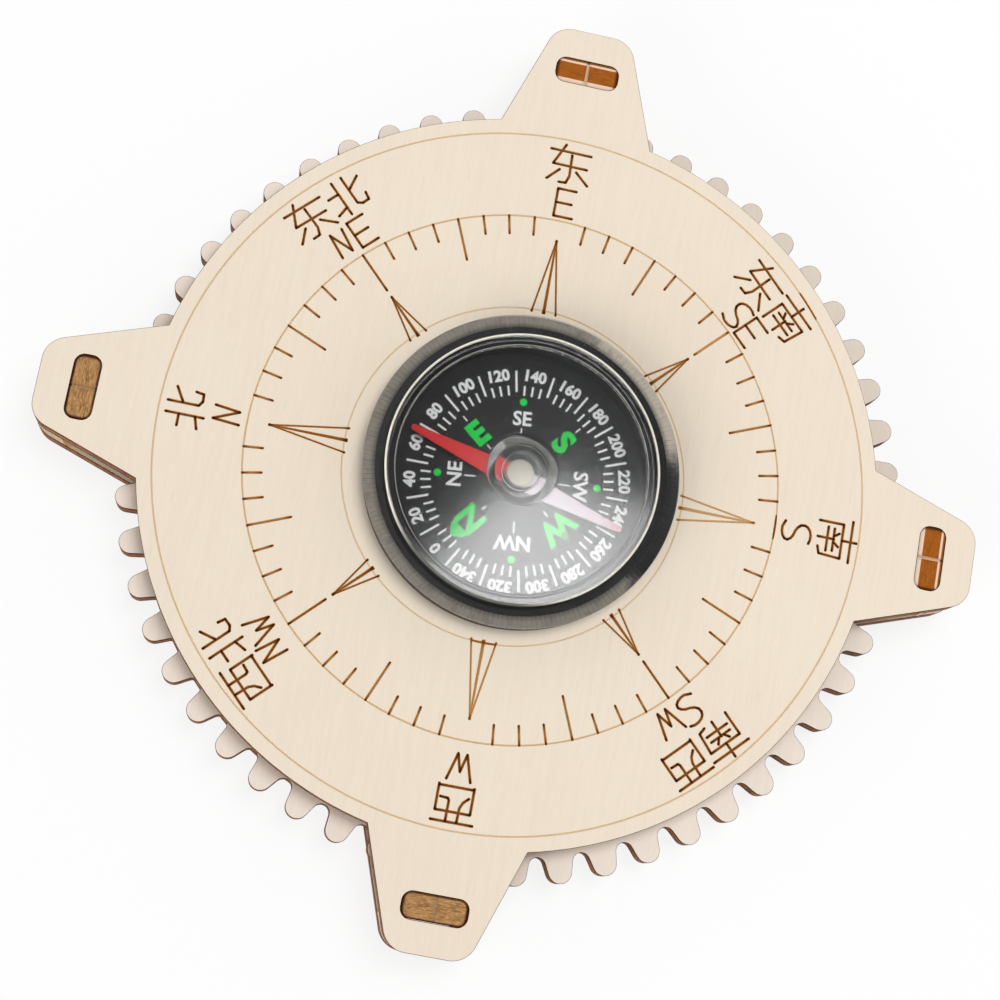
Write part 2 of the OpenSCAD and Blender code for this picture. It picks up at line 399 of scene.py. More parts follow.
def burntGroove():
    # the mesh says how deeply each spot is burnt
    material, place = newMaterial("burntGroove")
    burn = place.node("ShaderNodeAttribute", {"attribute_name": "burn"}, out=2)
    flicker = place.noise(3.2, 2.0, 0.6)
    level = burn + (flicker - 0.5) * 0.3 * burn
    colour = level.node("ShaderNodeValToRGB", {"stops": [
        (0.0, rgb(226, 204, 172)), (0.25, rgb(194, 148, 92)), (0.5, rgb(150, 94, 40)),
        (0.75, rgb(104, 58, 20)), (1.0, rgb(52, 26, 12))]}, {0: level})
    return shade(material, place, {
        "Base Color": colour,
        "Roughness": 0.75 + flicker * 0.15,
        "Specular IOR Level": 0.15,
        "Normal": flicker.bump(0.00003, 0.5),
    })


topFace = woodFace("plywoodTop", wood["topLight"], wood["topDark"])
wheelFace = woodFace("plywoodWheel", wood["wheelLight"], wood["wheelDark"], 38)
lowFace = woodFace("plywoodLow", wood["lowLight"], wood["lowDark"], 4)
edgeWood = burntEdge("burntEdge")
groove = burntGroove()
print("wood mixed")


# Boards: the wall of one sector is drawn, and the tree repeats it and fills the faces
def sectorMesh(name, chains, top, bottom, bevel):
    # chains are (points, sector angle or None for a closed loop), with the wood on their left
    verts, faces = [], []
    rows = ((bevel, top), (0.0, top - bevel), (0.0, bottom + bevel), (bevel, bottom))
    for points, step in chains:
        count = len(points)
        first = len(verts)
        for i, point in enumerate(points):
            if step is None:
                before, after = points[i - 1], points[(i + 1) % count]
            else:
                before = points[i - 1] if i else turned(points[-2], -step)
                after = points[i + 1] if i < count - 1 else turned(points[1], step)
            into = Vector(point) - Vector(before)
            away = Vector(after) - Vector(point)
            left = Vector((-into.y, into.x)).normalized()
            right = Vector((-away.y, away.x)).normalized()
            inset = (left + right) / max(0.3, 1 + left.dot(right))
            for push, z in rows:
                verts.append((point[0] + inset.x * push, point[1] + inset.y * push, z))
        for i in range(count if step is None else count - 1):
            a, b = first + 4 * i, first + 4 * ((i + 1) % count)
            for k in range(3):
                faces.append((a + k, a + k + 1, b + k + 1, b + k))
    return newMesh(name, verts, faces)


def ringOf(item, count, turn=0.0, wanted=None):
    # the geometry repeated round the middle, at the wanted ones of count places
    spots = item.node("GeometryNodePoints", None, {"Count": count})
    angle = item.node("GeometryNodeInputIndex") * (2 * math.pi) / count + turn
    around = item.node("ShaderNodeCombineXYZ", None, {"Z": angle})
    turn = item.node("FunctionNodeEulerToRotation", None, {0: around})
    values = {"Points": spots, "Instance": item, "Rotation": turn}
    if wanted is not None:
        values["Selection"] = wanted
    return item.node("GeometryNodeInstanceOnPoints", None, values)


def makeBoardTree():
    tree, put = newTree("board", {
        "Geometry": "Geometry", "Repeats": "Int", "Middle Height": "Float", "Top Height": "Float",
        "Bottom Height": "Float", "Close Top": "Bool", "Turn": "Float", "Shift": "Vector",
        "Face": "Material", "Edge": "Material"})
    wall = put["Geometry"]
    ring = wall.node("GeometryNodeRealizeInstances", None, {0: ringOf(wall, put["Repeats"])})
    ring = wall.node("GeometryNodeMergeByDistance", None, {"Geometry": ring, "Distance": 2e-6})
    loose = wall.node("GeometryNodeInputMeshEdgeNeighbors") < 1.5
    height = wall.node("GeometryNodeInputPosition").parts()[2]
    caps = []
    for upper in (True, False):
        level = put["Top Height"] if upper else put["Bottom Height"]
        side = (height > put["Middle Height"]) if upper else (height < put["Middle Height"])
        rim = wall.node("GeometryNodeMeshToCurve", None, {"Mesh": ring, "Selection": loose * side})
        cap = wall.node("GeometryNodeFillCurve", {"mode": "TRIANGLES"}, {"Curve": rim})
        lift = wall.node("ShaderNodeCombineXYZ", None, {"Z": level})
        cap = wall.node("GeometryNodeSetPosition", None, {"Geometry": cap, "Offset": lift})
        if upper:
            cap = wall.node("GeometryNodeSwitch", {"input_type": "GEOMETRY"},
                            {"Switch": put["Close Top"], "True": cap})
        else:
            cap = wall.node("GeometryNodeFlipFaces", None, {"Mesh": cap})
        caps.append(cap)
    whole = wall.node("GeometryNodeJoinGeometry", None, {0: [ring] + caps})
    whole = wall.node("GeometryNodeMergeByDistance", None, {"Geometry": whole, "Distance": 2e-6})
    placed = wall.node("GeometryNodeTransform", None, {
        "Geometry": whole, "Translation": put["Shift"],
        "Rotation": wall.node("ShaderNodeCombineXYZ", None, {"Z": put["Turn"]})})
    placed = wall.node("GeometryNodeRealizeInstances", None, {0: placed})
    flat = abs(wall.node("GeometryNodeInputNormal").parts()[2]) > 0.99
    done = wall.node("GeometryNodeSetMaterial", None,
                     {"Geometry": placed, "Selection": flat, "Material": put["Face"]})
    done = wall.node("GeometryNodeSetMaterial", None,
                     {"Geometry": done, "Selection": 1.0 - flat, "Material": put["Edge"]})
    wall.node("NodeGroupOutput", None, {"Geometry": done})
    return tree


boardTree = makeBoardTree()


def board(name, chains, piece, bottom, repeats, face, edge, closeTop=True, turn=0.0, at=(0, 0)):
    top = bottom + piece["thick"]
    mesh = sectorMesh(name, chains, top, bottom, piece["bevel"])
    item = grow(name, mesh, boardTree, {
        "Repeats": repeats, "Middle Height": (bottom + piece["thick"] / 2) * mm,
        "Top Height": top * mm, "Bottom Height": bottom * mm, "Close Top": closeTop,
        "Turn": math.radians(turn), "Shift": (at[0] * mm, at[1] * mm, 0),
        "Face": face, "Edge": edge})
    return closeUp(item)


plate = {
    "discR": 47.0, "reach": 60.3, "rootW": 19.9, "tipW": 9.9, "cornerR": 3.2,
    "keyR": 54.6, "slotW": 8.3, "slotH": 3.4, "slotR": 1.3, "windowR": 18.9,
    "thick": 3.0, "lowZ": 0.0, "topZ": 6.4, "bevel": 0.06,
}


def roundRect(centre, width, height, radius):
    # runs clockwise, so that the wood outside it is on the left
    x, y = width / 2 - radius, height / 2 - radius
    out = []
    for cx, cy, start in ((x, y, 0), (-x, y, 90), (-x, -y, 180), (x, -y, 270)):
        out += arc((centre[0] + cx, centre[1] + cy), radius, start, start + 90, 6)
    return out[::-1]


def plateSector(window):
    # a quarter of a plate, with its lug towards +Y
    p = plate
    rootY = math.sqrt(p["discR"] ** 2 - (p["rootW"] / 2) ** 2)
    slope = math.atan((p["rootW"] - p["tipW"]) / 2 / (p["reach"] - rootY))
    rootAngle = math.degrees(math.atan2(rootY, p["rootW"] / 2))
    cornerX = p["tipW"] / 2 - p["cornerR"] * (1 - math.sin(slope)) / math.cos(slope)
    cornerY = p["reach"] - p["cornerR"]
    lean = math.degrees(slope)
    line = arc((0, 0), p["discR"], 45, rootAngle, 16)
    line += arc((cornerX, cornerY), p["cornerR"], lean, 90, 10)
    line += arc((-cornerX, cornerY), p["cornerR"], 90, 180 - lean, 10)
    line += arc((0, 0), p["discR"], 180 - rootAngle, 135, 16)
    quarter = math.pi / 2
    chains = [(line, quarter),
              (roundRect((0, p["keyR"]), p["slotW"], p["slotH"], p["slotR"]), None)]
    if window:
        chains.append((arc((0, 0), p["windowR"], 135, 45, 36), -quarter))
    return chains


lowPlate = board("lower_plate", plateSector(False), plate, plate["lowZ"], 4, lowFace, edgeWood)
settle(lowPlate, "frame", "plywood", "bottom_plate")
print("lower plate cut")

wheel = {
    "teeth": 54, "rootR": 46.85, "toothH": 3.45, "noseR": 1.5, "gulletR": 1.05,
    "boreR": 18.9, "z": 3.2, "thick": 3.0, "bevel": 0.06, "at": (-0.6204, -0.7585),
}


def toothSector():
    # one pitch of the wheel: half a gullet, a flank, the nose, a flank and half a gullet
    w = wheel
    pitch = 360 / w["teeth"]
    tipR = w["rootR"] + w["toothH"]
    nose = (tipR - w["noseR"], 0.0)
    gullet = turned((w["rootR"] + w["gulletR"], 0), math.radians(pitch / 2))
    between = Vector(gullet) - Vector(nose)
    flank = math.degrees(math.atan2(between.y, between.x)
                         - math.acos((w["noseR"] + w["gulletR"]) / between.length))
    lower = turned(gullet, math.radians(-pitch))
    line = arc(lower, w["gulletR"], 180 - pitch / 2, 180 - flank, 5)
    line += arc(nose, w["noseR"], -flank, flank, 12)
    line += arc(gullet, w["gulletR"], 180 + flank, 180 + pitch / 2, 5)
    step = math.radians(pitch)
    bore = arc((0, 0), w["boreR"], pitch / 2, -pitch / 2, 3)
    return [(line, step), (bore, -step)]


gearWheel = board("toothed_wheel", toothSector(), wheel, wheel["z"], wheel["teeth"],
                  wheelFace, edgeWood, turn=-90, at=wheel["at"])
settle(gearWheel, "wheel", "plywood_wheel", "gear_wheel")
print("wheel cut with", wheel["teeth"], "teeth")

topPlate = board("upper_plate", plateSector(True), plate, plate["topZ"], 4, topFace, edgeWood,
                 closeTop=False)


def makeSpokeTree():
    # repeats the geometry round the middle, at every place that the step and offset pick
    tree, put = newTree("spokes", {
        "Geometry": "Geometry", "Count": "Int", "Step": "Int", "Offset": "Int", "Invert": "Bool",
        "Turn": "Float", "Shift": "Vector", "Ink": "Material"})
    item = put["Geometry"]
    index = item.node("GeometryNodeInputIndex")
    picked = abs((index % put["Step"]) - put["Offset"]) < 0.5
    ring = ringOf(item, put["Count"], put["Turn"], abs(picked - put["Invert"]))
    ring = item.node("GeometryNodeTransform", None, {"Geometry": ring, "Translation": put["Shift"]})
    ring = item.node("GeometryNodeRealizeInstances", None, {0: ring})
    ring = item.node("GeometryNodeSetMaterial", None, {"Geometry": ring, "Material": put["Ink"]})
    item.node("NodeGroupOutput", None, {"Geometry": ring})
    return tree


spokeTree = makeSpokeTree()

# The engraving: strokes in millimetres, with x to the right and y outward at each mark
engraving = {
    # half width of each kind of stroke at the surface and at its floor, depth, and how much
    # darker its ends burn
    "sign": (0.21, 0.08, 0.15, 0.4), "tick": (0.19, 0.08, 0.15, 0.4),
    "ray": (0.15, 0.05, 0.12, 0.4), "foot": (0.2, 0.08, 0.14, 0), "tip": (0.22, 0.1, 0.16, 0),
    "scorch": (0.17, 0.07, 0.06, 0),
    "endReach": 0.42,  # the length over which an end burns darker
    "spacing": 0.55,  # between the mesh's cuts along a stroke
    "corner": 32,  # degrees of a bend that cuts a path in two
    "divisions": 64,
    "tickR": 34.0, "shortTick": 31.6, "longTick": 28.5,
    "signLevel": 0.66, "tickLevel": 0.4, "rayLevel": 0.72,  # how dark they burn
    # a ray runs from its tip in to four feet: the tip's radius and half the spread of the feet
    "longRay": (31.2, 1.57), "shortRay": (27.4, 1.2), "footR": 21.5, "middleFoot": 0.09,
    # radius, level and half width of each circle
    "circles": [(45.07, 0.1, 0.13), (34.0, 0.15, 0.13), (21.7, 0.05, 0.12)],
    # where a circle is burnt darker: radius, heading, half its angle, level
    "scorches": [(45.07, 311.3, 2.5, 0.6), (34.0, 270, 2.5, 0.75), (21.7, 180, 4.0, 0.55)],
}

glyphs = {
    "dong": [[(-2.83, 1.70), (2.49, 1.66)], [(-0.96, 2.57), (-2.27, -0.20), (2.21, -0.26)],
             [(0.02, 1.33), (0.11, -1.56), (-0.23, -2.53), (-1.13, -2.58)],
             [(-1.30, -0.88), (-2.78, -2.41)], [(0.91, -0.88), (2.61, -2.41)]],
    "nan": [[(-2.69, 1.82), (2.69, 1.82)], [(0, 2.64), (0, 0.66)], [(-2.11, 0.66), (-2.11, -2.52)],
            [(-2.11, 0.66), (2.36, 0.66), (2.15, -2.12), (1.25, -2.38)],
            [(-0.83, 0.25), (-0.41, -0.37)], [(0.91, 0.25), (0.41, -0.37)],
            [(-1.36, -0.45), (1.53, -0.45)], [(-1.49, -1.27), (1.65, -1.27)],
            [(0, -0.37), (0, -2.52)]],
    "bei": [[(-0.88, 2.36), (-0.88, -2.40)], [(-2.40, 0.70), (-0.88, 0.70)],
            [(-2.40, -1.78), (-0.88, -1.32)],
            [(0.58, 2.36), (0.58, -1.50), (1.15, -1.90), (2.10, -1.86), (2.24, -0.90)],
            [(2.48, 1.53), (0.70, 0.50)]],
    "xi": [[(-2.66, 2.36), (2.55, 2.36)],
           [(-2.17, -2.10), (-2.17, 1.10), (2.22, 1.10), (2.22, -2.10)],
           [(-2.17, -1.95), (2.22, -1.95)],
           [(-0.68, 2.36), (-0.74, 0.50), (-1.05, -0.20), (-1.70, -0.80)],
           [(0.72, 2.36), (0.70, -0.20), (0.85, -0.48), (1.80, -0.55)]],
    "E": [[(-1.12, 1.88), (-1.12, -1.90)], [(-1.12, 1.86), (1.3, 1.86)], [(-1.12, 0), (0.95, 0)],
          [(-1.12, -1.88), (1.3, -1.88)]],
    "N": [[(-0.95, -1.65), (-0.68, 1.65), (0.68, -1.5), (1.05, 1.6)]],
    "S": [[(1.2, 1.74), (0.7, 1.9), (0.1, 1.9), (-0.45, 1.74), (-0.85, 1.42), (-1.03, 1.0),
           (-0.95, 0.5), (-0.6, 0.1), (-0.1, -0.17), (0.5, -0.35), (0.95, -0.65), (1.2, -1.05),
           (1.1, -1.42), (0.75, -1.7), (0.2, -1.88), (-0.4, -1.9), (-1.2, -1.57)]],
    "W": [[(-1.5, 1.58), (-0.57, -1.69), (0, 0.48), (0.57, -1.69), (1.5, 1.55)]],
}

# Each mark: its heading from +X, how dark its ray and long tick are, and its signs at (x, radius)
marks = {
    "east": (0, 0.75, 0, [("dong", 0, 41.8), ("E", 0.1, 36.47)]),
    "northEast": (45, 0.8, 0.7, [("dong", -2.85, 41.7), ("bei", 2.77, 41.65), ("N", -1.4, 36.7),
                                 ("E", 1.7, 36.7)]),
    "north": (90, 0.75, 0, [("bei", 0, 41.75), ("N", 0.1, 36.6)]),
    "northWest": (135, 0.8, 0.7, [("xi", -2.95, 41.85), ("bei", 2.69, 41.9), ("N", -1.6, 37.5),
                                  ("W", 1.5, 37.2)]),
    "west": (180, 0.45, 0, [("xi", 0, 41.7), ("W", 0, 37.35)]),
    "southWest": (225, 0.7, 0.7, [("nan", -2.78, 42.0), ("xi", 2.95, 41.8), ("S", -1.45, 36.7),
                                  ("W", 1.77, 36.55)]),
    "south": (270, 0.3, 0, [("nan", 0, 42.2), ("S", 0.05, 36.85)]),
    "southEast": (315, 0.65, 0.35, [("dong", -2.8, 41.45), ("nan", 2.9, 41.6), ("S", -1.24, 36.4),
                                    ("E", 1.57, 36.45)]),
}


def spokeLines(inner, outer, step, offset, invert):
    # tick strokes, repeated by the tree and read back as pairs of points
    line = newMesh("tick", [(inner, 0, 0), (outer, 0, 0)], [], [(0, 1)])
    item = grow("tick_lines", line, spokeTree, {
        "Count": engraving["divisions"], "Step": step, "Offset": offset, "Invert": invert})
    spots = [(v.co.x / mm, v.co.y / mm) for v in item.data.vertices]
    pairs = [[spots[i] for i in edge.vertices] for edge in item.data.edges]
    bpy.data.objects.remove(item)
    return pairs


def engravedStrokes():
    # every stroke's path, whether it is a closed loop, how it is cut and how dark it burns
    e = engraving
    strokes = []

    def add(path, level, cut, closed=False):
        strokes.append((path, closed, (*cut, level)))

    for inner, step, offset, invert in ((e["shortTick"], 4, 0, True), (e["longTick"], 8, 4, False)):
        for pair in spokeLines(inner, e["tickR"], step, offset, invert):
            add(pair, e["tickLevel"], e["tick"])
    for heading, ray, tick, signs in marks.values():
        angle = math.radians(heading)
        out, right = (math.cos(angle), math.sin(angle)), (math.sin(angle), -math.cos(angle))

        def place(x, r):
            return (out[0] * r + right[0] * x, out[1] * r + right[1] * x)

        if tick:
            add([place(0, e["longTick"]), place(0, e["tickR"])], tick * 0.8, e["tick"])
        tip, spread = e["shortRay"] if tick else e["longRay"]
        foot, middle = e["footR"], e["middleFoot"]
        for x in (-spread, -middle, middle, spread):
            add([place(0, tip), place(x, foot)], ray * e["rayLevel"], e["ray"])
            add([place(x, foot - 0.05), place(x, foot + 0.05)], ray, e["foot"])
        add([place(0, tip - 0.08), place(0, tip + 0.04)], ray + 0.1, e["tip"])
        for sign, x, r in signs:
            for path in glyphs[sign]:
                add([place(x + px, r + py) for px, py in path], e["signLevel"], e["sign"])
    for radius, level, half in e["circles"]:
        circle = arc((0, 0), radius, 0, 360, round(radius * 5))[:-1]
        add(circle, level, (half, half * 0.4, 0.05, 0), closed=True)
    for radius, heading, spread, level in e["scorches"]:
        add(arc((0, 0), radius, heading - spread, heading + spread, 12), level, e["scorch"])
    return strokes


def smoothRuns(path, closed):
    # a path is cut where it turns a corner, so that each run has its own round ends
    path = [Vector(p) for p in path]
    if closed:
        return [path]
    runs, run = [], [path[0]]
    for before, point, after in zip(path, path[1:], path[2:]):
        run.append(point)
        if (point - before).angle(after - point) > math.radians(engraving["corner"]):
            runs.append(run)
            run = [point]
    runs.append(run + path[-1:])
    fine = []
    for run in runs:
        out = [run[0]]
        for a, b in zip(run, run[1:]):
            pieces = max(1, math.ceil((b - a).length / engraving["spacing"]))
            out += [a.lerp(b, k / pieces) for k in range(1, pieces + 1)]
        fine.append(out)
    return fine


def ringsRound(run, width, closed):
    # the outline of a run at one distance from its middle line
    count = len(run)
    left, right = [], []
    for i, point in enumerate(run):
        before = run[i - 1] if (i or closed) else point
        after = run[(i + 1) % count] if (i < count - 1 or closed) else point
        along = (after - before).normalized()
        side = Vector((-along.y, along.x)) * width
        left.append(point + side)
        right.append(point - side)
    if closed:
        return [left, right]
    ends = []
    for point, toward in ((run[-1], run[-1] - run[-2]), (run[0], run[0] - run[1])):
        heading = math.degrees(math.atan2(toward.y, toward.x))
        ends.append([Vector(p) for p in arc(point, width, heading + 90, heading - 90, 6)[1:-1]])
    return [left + ends[0] + right[::-1] + ends[1]]


def engrave(item, faceZ):
    # closes a plate's open face with triangles that follow every stroke, and sinks the strokes
    strokes = engravedStrokes()
    work = bmesh.new()
    work.from_mesh(item.data)
    layer = work.verts.layers.float.new("burn")
    rim = [v for v in work.verts if any(len(edge.link_faces) == 1 for edge in v.link_edges)]
    spots = [Vector((v.co.x / mm, v.co.y / mm)) for v in rim]
    place = {v.index: i for i, v in enumerate(rim)}
    edges = [(place[edge.verts[0].index], place[edge.verts[1].index])
             for edge in work.edges if len(edge.link_faces) == 1]
    rimEdges = list(edges)
    starts, ends, facts = [], [], []
    for path, closed, cut in strokes:
        for run in smoothRuns(path, closed):
            for width in cut[:2]:
                for ring in ringsRound(run, width, closed):
                    first = len(spots)
                    spots += ring
                    edges += [(first + k, first + (k + 1) % len(ring)) for k in range(len(ring))]
            loop = run + run[:1] if closed else run
            steps = [(b - a).length for a, b in zip(loop, loop[1:])]
            total, gone = sum(steps), 0.0
            for a, b, step in zip(loop, loop[1:], steps):
                starts.append(a)
                ends.append(b)
                facts.append((*cut, gone, step, total))
                gone += step
    flat, _, faces, origins, _, _ = delaunay_2d_cdt(spots, edges, [], 0, 1e-5)
    flat = np.array([tuple(p) for p in flat])
    a, b = np.array([tuple(p) for p in starts]), np.array([tuple(p) for p in ends])
    half, core, depth, boost, level, gone, step, total = np.array(facts, float).T

    cell = 4.0  # mm

    def soak(points):
        # how dark and how deep each point is, and whether it lies in a stroke
        burns, depths = np.zeros((2, len(points)))
        inside = np.zeros(len(points), bool)
        square = np.floor(points / cell)
        for corner in np.unique(square, axis=0):
            here = np.flatnonzero((square == corner).all(1))
            reach = cell + engraving["spacing"] + 1
            near = (np.abs((a + b) / 2 - (corner + 0.5) * cell) < reach).all(1)
            if not near.any():
                continue
            start, along = a[near], (b - a)[near]
            away = points[here][:, None] - start
            t = ((away * along).sum(2) / (along ** 2).sum(1)).clip(0, 1)
            far = np.linalg.norm(away - along * t[..., None], axis=2)
            share = ((half[near] - far) / (half - core)[near]).clip(0, 1)
            passed = gone[near] + t * step[near]
            toEnd = np.minimum(passed, total[near] - passed) / engraving["endReach"]
            dark = share * (level[near] + boost[near] * np.exp(-toEnd ** 2))
            burns[here] = dark.max(1)
            depths[here] = (share * depth[near]).max(1)
            inside[here] = (far < half[near] - 1e-4).any(1)
        return burns, depths, inside

    burns, depths, _ = soak(flat)
    middles = flat[np.array(faces)].mean(1)
    _, _, sunk = soak(middles)
    # even-odd count of rim edges to the right of a triangle says whether it is on the plate
    rimSpots = np.array([tuple(p) for p in spots[:len(rim)]])
    p, q = rimSpots[[i for i, _ in rimEdges]], rimSpots[[j for _, j in rimEdges]]
    x, y = middles[:, :1], middles[:, 1:]
    crosses = (p[:, 1] > y) != (q[:, 1] > y)
    with np.errstate(divide="ignore", invalid="ignore"):
        reach = (q[:, 0] - p[:, 0]) * (y - p[:, 1]) / (q[:, 1] - p[:, 1]) + p[:, 0]
    within = (crosses & (x < reach)).sum(1) % 2 == 1
    made = []
    for i, spot in enumerate(flat):
        old = [k for k in origins[i] if k < len(rim)]
        new = (spot[0] * mm, spot[1] * mm, (faceZ - depths[i]) * mm)
        vert = rim[old[0]] if old else work.verts.new(new)
        vert[layer] = burns[i]
        made.append(vert)
    names = [m.name for m in item.data.materials]
    faceIndex = names.index(topFace.name)
    grooveIndex = len(names)
    item.data.materials.append(groove)
    for face, on, low in zip(faces, within, sunk):
        if on:
            new = work.faces.new([made[k] for k in face])
            new.material_index = grooveIndex if low else faceIndex
            new.normal_update()
            if new.normal.z < 0:
                new.normal_flip()
    for vert in [v for v in work.verts if not v.link_faces]:
        work.verts.remove(vert)
    work.to_mesh(item.data)
    work.free()
    return len(strokes)


count = engrave(topPlate, plate["topZ"] + plate["thick"])
closeUp(topPlate)
for face in topPlate.data.polygons:
    if abs(face.normal.z) > 0.999:
        face.use_smooth = False  # a long thin triangle beside a groove stays flat
settle(topPlate, "frame", "plywood", "top_plate")
print("upper plate engraved with", count, "strokes")

# Keys: ply on edge, with a split tab at each end
key = {
    "width": 12.8, "gap": 3.4, "tabH": 2.9, "slitW": 0.35, "slitSink": 0.22, "thick": 3.0,
    "middleZ": 4.7,
    "tabW": 8.2, "tabThick": 3.3, "tabR": 1.25,  # nearly fill the slot, as in the photo
    # places across a key, growing outward, between which its pale plies come and go
    "innerPly": (-1.05, -1.15), "outerPly": (1.08, 1.16), "outerPlyEnd": (1.44, 1.38),
}


def keyEdge(name, core, veneer, rimTint, stripes, slitLightAndShade, grainShare):
    # the cut edge of a key: plies side by side, burnt round the tab's rim with painted shade of the
    # slot's gap there, painted shade at the tab's ends, and painted light in its slit with painted
    # shade beside it
    material, place = newMaterial(name)
    easting, northing, z = place.parts()
    x, y = abs(easting), abs(northing)
    across = x.maths("MAXIMUM", x, y) - plate["keyR"]  # grows outward
    sideways = x.maths("MINIMUM", x, y)
    corner = key["tabR"]
    overX = sideways - (key["tabW"] / 2 - corner)
    overX = overX.maths("MAXIMUM", overX, 0.0)
    overY = abs(across) - (key["tabThick"] / 2 - corner)
    overY = overY.maths("MAXIMUM", overY, 0.0)
    rim = overX * overX + overY * overY
    rim = rim.maths("SQRT", rim)
    onX = x > y  # the keys on the X axis run along Y
    along = northing * onX + easting * (1.0 - onX)
    run = place.node("ShaderNodeCombineXYZ", None,
                     {"X": along * 0.5, "Y": across * 2.2, "Z": z * 0.4})
    grain = run.noise(1.5, 4.0, 0.65)
    fibre = run.noise(3.4, 3.0, 0.6)
    colour = (grain.fade(0.4, 0.65) * grainShare).mix(core, scaled(core, 0.4))
    colour = (fibre.fade(0.5, 0.66) * grainShare).mix(colour, scaled(core, 1.7))
    inner = across.fade(*key["innerPly"]) * stripes
    outer = across.fade(*key["outerPly"]) * across.fade(*key["outerPlyEnd"]) * stripes
    colour = (inner + outer).mix(colour, veneer)
    onEnd = (abs(z - key["middleZ"]) > key["gap"] / 2 + 0.3)
    # painted shade beside the slit
    besideShade = sideways.fade(0.5, 0.3) * onEnd * slitLightAndShade * 0.2
    colour = besideShade.mix(colour, wood["char"])
    # painted light in the slit
    slit = sideways.fade(0.24, 0.15) * onEnd
    colour = (slit * slitLightAndShade).mix(colour, rgb(232, 204, 166))
    # painted shade of the gaps at the tab's ends; round the tab's rim, laser char with painted
    # shade of the slot's gap
    ends = overX.fade(corner - 0.55, corner - 0.1) * 0.85
    edge = rim.fade(corner - 0.34, corner - 0.1) * (1.0 - (inner + outer) * 0.8)
    colour = (edge * onEnd).mix(colour, rimTint)
    colour = (ends * onEnd).mix(colour, rgb(60, 22, 12))
    return shade(material, place, {
        "Base Color": colour,
        "Roughness": 0.6 + fibre * 0.25,
        "Specular IOR Level": 0.2,
        "Normal": (grain * 0.5 + fibre * 0.5).bump(0.00008, 0.7),
    })


keyWarm = keyEdge("keyWarm", rgb(162, 90, 26), rgb(236, 208, 186), rgb(140, 84, 32),
                  stripes=1.0, slitLightAndShade=0.8, grainShare=0.35)
keyDull = keyEdge("keyDull", rgb(176, 132, 84), rgb(200, 160, 108), rgb(66, 28, 14),
                  stripes=0.15, slitLightAndShade=0.25, grainShare=0.75)


def keyMesh(name):
    # sections along the key's length: a shoulder, and tabs whose ends are round in plan
    k = key
    low, half, full = k["gap"] / 2, k["thick"] / 2, k["tabThick"] / 2
    high = low + k["tabH"]
    flat, slit = k["tabW"] / 2 - k["tabR"], k["slitW"] / 2
    bend = [(flat + dx, full - k["tabR"] + dy) for dx, dy in arc((0, 0), k["tabR"], 90, 0, 8)]
    side = [(slit, high - k["slitSink"], full), (slit, high, full)]
    side += [(x, high, y) for x, y in bend]
    side += [(k["tabW"] / 2, low, bend[-1][1]), (k["width"] / 2, low, bend[-1][1])]
    verts, faces = [], []
    for x, top, thin in [(-x, top, thin) for x, top, thin in side[::-1]] + side:
        loop = [(thin, top), (thin, low), (half, low), (half, -low), (thin, -low), (thin, -top)]
        verts += [(x, y, z) for y, z in loop + [(-y, z) for y, z in loop[::-1]]]
    count = 12
    for first in range(0, len(verts) - count, count):
        for i in range(count):
            n = (i + 1) % count
            faces.append((first + i, first + n, first + count + n, first + count + i))
    faces += [tuple(range(count)), tuple(range(len(verts) - count, len(verts)))]
    return addPiece(name, verts, faces, [lowFace])


for index, (name, node, edge) in enumerate((
        ("key_to_north", "key_north", keyDull), ("key_to_east", "key_east", keyWarm),
        ("key_to_south", "key_south", keyWarm), ("key_to_west", "key_west", keyDull))):
    item = closeUp(keyMesh(name))
    item.data.materials.append(edge)
    for face in item.data.polygons:
        face.material_index = 0 if abs(face.normal.y) > 0.99 else 1
    item.data.transform(Matrix.Rotation(math.radians(-90 * index), 4, "Z")
                        @ Matrix.Translation(Vector((0, plate["keyR"], key["middleZ"])) * mm))
    settle(item, "frame", "plywood", node)
print("keys set")

# The compass module: heights in millimetres above the table
module = {
    "at": (0.0495, -0.5995),
    "footZ": 3.3, "floorZ": 4.3, "neckR": 17.8, "ledgeR": 15.5, "postR": 2.2, "pinR": 0.72,
    "pinZ": 4.2,
    "cavityR": 16.8, "flangeR": 19.75, "seatZ": 12.2, "flangeZ": 9.5, "cardZ": 5.1, "faceZ": 5.6,
    "steps": 180,
    "dialNorth": 140.7,  # heading of the dial's north from +X
    "ribs": 200, "ribInner": 18.25, "ribOuter": 19.7, "ribDeep": 0.16,
    # the ribbed band carries painted light by heading from +X: dark over one arc, pale over another
    # and half pale elsewhere
    "darkArc": (-120, -80), "paleArc": (-68, -26), "arcEnd": 10, "lightShare": 0.5,
    "waver": 14.0,  # degrees by which the arcs' ends wander
    "shaded": (18.9, 18.3),  # radii between which the band darkens inward
    "paintedLightTint": rgb(198, 188, 172), "bandTint": rgb(26, 26, 26),
}


def softened(profile, radius, steps=4):
    # a closed outline of (r, z) with its corners rounded; corners on the axis stay
    out = []
    for i, point in enumerate(profile):
        p = Vector(point[:2])
        size = point[2] if len(point) > 2 else radius
        if p.x < 1e-6 or size == 0:
            out.append(tuple(p))
            continue
        before, after = Vector(profile[i - 1][:2]), Vector(profile[(i + 1) % len(profile)][:2])
        back, ahead = before - p, after - p
        bend = back.angle(ahead)
        cut = min(size / math.tan(bend / 2), back.length * 0.4, ahead.length * 0.4)
        first, last = p + back.normalized() * cut, p + ahead.normalized() * cut
        hold = min(0.04, back.length * 0.05, ahead.length * 0.05)  # keeps the flats beside it flat
        out.append(tuple(first + back.normalized() * hold))
        for k in range(steps + 1):
            t = k / steps
            out.append(tuple(first * (1 - t) ** 2 + p * (2 * t * (1 - t)) + last * t ** 2))
        out.append(tuple(last + ahead.normalized() * hold))
    return out


